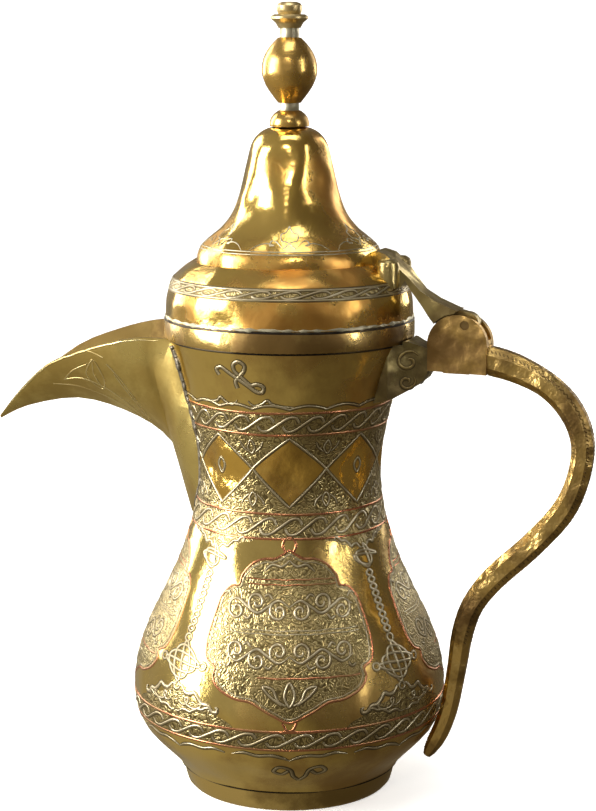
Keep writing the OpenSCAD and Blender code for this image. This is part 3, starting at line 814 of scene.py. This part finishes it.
# Leaf lines, as x and z in mm
BEAK_LINES = [
    [(-96, 152.6), (-84, 152.0), (-72, 147.6), (-62, 140.0), (-54.5, 129.5)],
    [(-90, 155.0), (-82, 156.2), (-74, 154.0), (-66, 148.2), (-57.5, 137.0)],
    [(-54.5, 129.5), (-57.0, 143.5), (-63.0, 157.0), (-68.0, 163.5)],
    [(-56.6, 135.5), (-59.5, 147.0), (-65.5, 159.5)],
    [(-90, 155.0), (-84, 159.6), (-77, 162.6)],
    [(-83, 166.0), (-76, 168.2), (-69, 166.0)],
    [(-74.0, 165.0), (-78.2, 159.0), (-76.6, 154.2), (-73.0, 152.2), (-70.8, 157.0),
     (-72.4, 163.0), (-74.0, 165.0)],
    [(-74.0, 164.4), (-74.8, 158.5), (-73.2, 153.0)],
]
beak_lines = Inlay(0.62, 0.09)
for side in (-1, 1):
    for line in BEAK_LINES:
        hits = placed(from_side(beak_tree, side, CHEEK_RAY), smooth(line))
        if len(hits) > 2:
            ribbon(beak_lines.bm, hits, beak_lines.width, beak_lines.height)
beak_lines.done("beak_leaf_engraving", line_and_highlight_brass, "pot")


def cheek_rim(side):
    """Just under the top edge of one cheek, from near the tip back to the neck."""
    place = from_side(beak_tree, side, CHEEK_RAY)
    path = []
    for k in range(76):
        x, z = -119 + k, 180.0
        while z > 140:
            found = place(x, z)
            if found and found[0].y * side > 0:
                path.append(place(x, z - 0.7) or found)
                break
            z -= 0.3
    return path


# Painted highlight: a pale strip under each cheek's top edge, where the edge catches the
# light.
rim_highlight_lines = Inlay(0.75, 0.10)
for side in (-1, 1):
    rim = cheek_rim(side)
    ribbon(rim_highlight_lines.bm, rim[::2], rim_highlight_lines.width, rim_highlight_lines.height, taper=True)
rim_highlight_lines.done("beak_rim_painted_highlight", line_and_highlight_brass, "pot")


# --------------------------------------------- punch marks on handle and lug

handle_tree = tree_of("handle")
punches = Inlay(0.45, 0.05)
PUNCH_LENGTH, PUNCH_PITCH = 1.3 * MM, 1.5
PUNCH_ROWS = ((1.2, 1), (3.0, -1))   # mm off the middle, and which way the dashes slant
ACROSS = Vector((0, 1, 0))


def mark(start, toward, along):
    """One short slanted dash where a ray meets the handle."""
    hits = []
    for k in (-1, 0, 1):
        offset = (ACROSS * 0.5 + along * 0.5) * (k * PUNCH_LENGTH / 2)
        hit, normal, _, _ = handle_tree.ray_cast(start + offset, toward)
        if hit is None:
            return
        hits.append((hit, normal if normal.dot(toward) < 0 else -normal))
    if (hits[0][0] - hits[2][0]).length < 3 * PUNCH_LENGTH:
        ribbon(punches.bm, hits, punches.width, punches.height)


for side in (-1, 1):
    # up the back of the bar, then along its top
    for k in range(70):
        for row, slant in PUNCH_ROWS:
            mark(Vector((0.16, side * row * MM, (62 + PUNCH_PITCH * k) * MM)),
                 Vector((-1, 0, 0)), Vector((0, 0, slant)))
    for k in range(24):
        for row, slant in PUNCH_ROWS:
            mark(Vector(((80 + PUNCH_PITCH * k) * MM, side * row * MM, 0.22)),
                 Vector((0, 0, -1)), Vector((slant, 0, 0)))
punches.done("handle_punch_marks", punch_and_shade_brown, "pot")

lug_tree = tree_of("handle_lug")
lug_curls = Inlay(1.0, 0.16, outlined=True)
for side in (-1, 1):
    for cx, cz, radius, sense in ((49.5, 169.0, 4.2, 1), (49.0, 161.4, 3.0, -1)):
        hits = placed(from_side(lug_tree, side, LUG_RAY),
                      smooth(spiral(cx, cz, radius, 1.2, 0.6, sense)))
        if len(hits) > 8:
            lug_curls.lay(hits, taper=True)
finish_piece(lug_curls.outline, "lug_chased_outlines", chased_dark, "pot")
lug_curls.done("lug_curls", arm_brass, "pot")


# ------------------------------------------------------------- solder and seams

def solder_bead(name, places, width, rough, material, rides_on, closed=False):
    """An uneven low bead laid along (point, normal) places."""
    bm = bmesh.new()
    n = len(places)
    spans = n if closed else n - 1
    line = stations(places, closed)

    def corner(u, v):
        point, normal, side = line[round(u * spans) % n]
        size = width(u)
        offset = (side * math.cos(TURN * v) + normal * math.sin(TURN * v) * 0.35) * size
        return point + offset * (1 + rough * noise.noise((point + offset) * 300))

    wrap(bm, spans, 8, corner)
    bmesh.ops.remove_doubles(bm, verts=bm.verts, dist=WELD)
    if not closed:
        bmesh.ops.holes_fill(bm, edges=[e for e in bm.edges if e.is_boundary], sides=8)
    bmesh.ops.recalc_face_normals(bm, faces=bm.faces)
    finish_piece(bm, name, material, rides_on)


solder_bead("lid_band_solder", [lid.at(TURN * i / 420, 183.6 * MM) for i in range(420)],
            lambda u: 0.66 * MM, 1.5, stem_tin, "lid", closed=True)
# Painted shadow: a dark ring just under the band's solder line.
seam_shadow = Inlay(1.0, 0.06)
seam_shadow.ring(lid, 182.8 * MM, 0.1 * MM)
seam_shadow.done("lid_seam_painted_shadow", painted_shadow, "lid")


def spout_edge(side):
    """Where the beak's side meets the neck, from the rim down to its foot."""
    path = []
    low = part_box("beak")[0].z
    z = 172.5 * MM
    while z > low + 2 * MM:
        found = None
        for k in range(120):
            angle = -TURN / 4 + side * math.radians(k * 0.6)
            point, normal = body.at(angle, z)
            near, _, _, gap = beak_tree.find_nearest(point + normal * 0.4 * MM)
            if near is not None and gap < 0.9 * MM:
                found = (point, normal)
        if found:
            path.append(found)
        z -= 0.6 * MM
    return path


for side, label in ((1, "near"), (-1, "far")):
    edge = spout_edge(side)
    if len(edge) > 4:
        solder_bead("spout_solder_" + label, edge,
                    lambda u: (3.4 - 1.9 * min(1, u * 1.6)) * MM, 0.55, lead_solder,
                    "pot")


# ------------------------------------------------------ floor, light and view

def stage_plane(name, size, location, rotation, material):
    mesh = bpy.data.meshes.new(name)
    bm = bmesh.new()
    bmesh.ops.create_grid(bm, x_segments=1, y_segments=1, size=size / 2)
    bm.to_mesh(mesh)
    bm.free()
    obj = bpy.data.objects.new(name, mesh)
    obj.location, obj.rotation_euler = location, rotation
    bpy.context.scene.collection.objects.link(obj)
    mesh.materials.append(material)
    return obj


def pale_paint(name, glow):
    mat, _, bsdf = new_material(name)
    bsdf.inputs["Base Color"].default_value = (0.9, 0.9, 0.9, 1)
    bsdf.inputs["Roughness"].default_value = 0.9
    bsdf.inputs["Emission Color"].default_value = (1, 1, 1, 1)
    bsdf.inputs["Emission Strength"].default_value = glow
    return mat


floor = stage_plane("floor", 30.0, (0, 0, 0), (0, 0, 0), pale_paint("floor_paint", 0.55))
wall = stage_plane("backdrop", 12.0, (-1.0, 3.4, 0), (math.pi / 2, 0, VIEW_AZ),
                   pale_paint("backdrop_paint", 0.95))
for plane in (floor, wall):
    plane.visible_glossy = False


def soft_light(name, azimuth, height, distance, size, power, tint=(1, 0.97, 0.92)):
    """A panel aimed at the pot, so many degrees round to the right of the camera."""
    data = bpy.data.lights.new(name, "AREA")
    data.shape, data.size, data.size_y = "RECTANGLE", size[0], size[1]
    data.energy, data.color = power, tint
    obj = bpy.data.objects.new(name, data)
    a = VIEW_AZ + math.radians(azimuth)
    obj.location = (distance * math.sin(a), -distance * math.cos(a), height)
    obj.rotation_euler = (Vector((0, 0, 0.14)) - obj.location).to_track_quat(
        "-Z", "Y").to_euler()
    bpy.context.scene.collection.objects.link(obj)


soft_light("window_left", -76, 0.40, 1.0, (0.58, 0.75), 18)
soft_light("window_behind_left", -128, 0.5, 1.1, (0.5, 0.9), 9)
soft_light("window_right", 58, 0.50, 1.1, (0.07, 0.7), 2.4)
soft_light("lamp_front", -6, 0.95, 1.2, (0.16, 0.16), 2.6, (1, 0.9, 0.75))
soft_light("window_behind_right", 135, 0.45, 1.2, (0.30, 0.8), 3.5)
soft_light("ceiling", 0, 1.5, 0.2, (0.7, 0.7), 5, (1, 1, 1))

# The room is light to the left, dim and brown to the right, and warmer below.
world = bpy.data.worlds.new("soft_studio")
world.use_nodes = True
bpy.context.scene.world = world
room = world.node_tree
way = add(room, "ShaderNodeSeparateXYZ")
room.links.new(add(room, "ShaderNodeTexCoord").outputs["Generated"], way.inputs[0])
leftward = math_node(
    room, "ADD", math_node(room, "MULTIPLY", way.outputs[0], -math.cos(VIEW_AZ)),
    math_node(room, "MULTIPLY", way.outputs[1], -math.sin(VIEW_AZ)))
upper_tone = mixed(room, ranged(room, leftward, -0.75, 0.7), (0.24, 0.20, 0.15),
                   (0.76, 0.70, 0.59))
lower_tone = mixed(room, ranged(room, leftward, -0.55, 0.75), (0.27, 0.22, 0.14),
                   (0.86, 0.75, 0.52))
room_tone = mixed(room, ranged(room, way.outputs[2], -0.40, 0.10), lower_tone,
                  upper_tone)
backing = room.nodes["Background"]
room.links.new(room_tone, backing.inputs["Color"])
backing.inputs["Strength"].default_value = 0.46
bpy.context.scene.view_settings.view_transform = "Standard"

camera_data = bpy.data.cameras.new("view")
camera = bpy.data.objects.new("view", camera_data)
bpy.context.scene.collection.objects.link(camera)
bpy.context.scene.camera = camera
camera_data.sensor_fit = "VERTICAL"
camera_data.sensor_height = 24
camera_data.lens = 59.64
camera_data.shift_x = 0.0105
DISTANCE, HEIGHT, PITCH = 0.760, 0.2855, 0.1787
camera.location = (DISTANCE * math.sin(VIEW_AZ), -DISTANCE * math.cos(VIEW_AZ), HEIGHT)
camera.rotation_euler = (math.pi / 2 - PITCH, 0, VIEW_AZ)
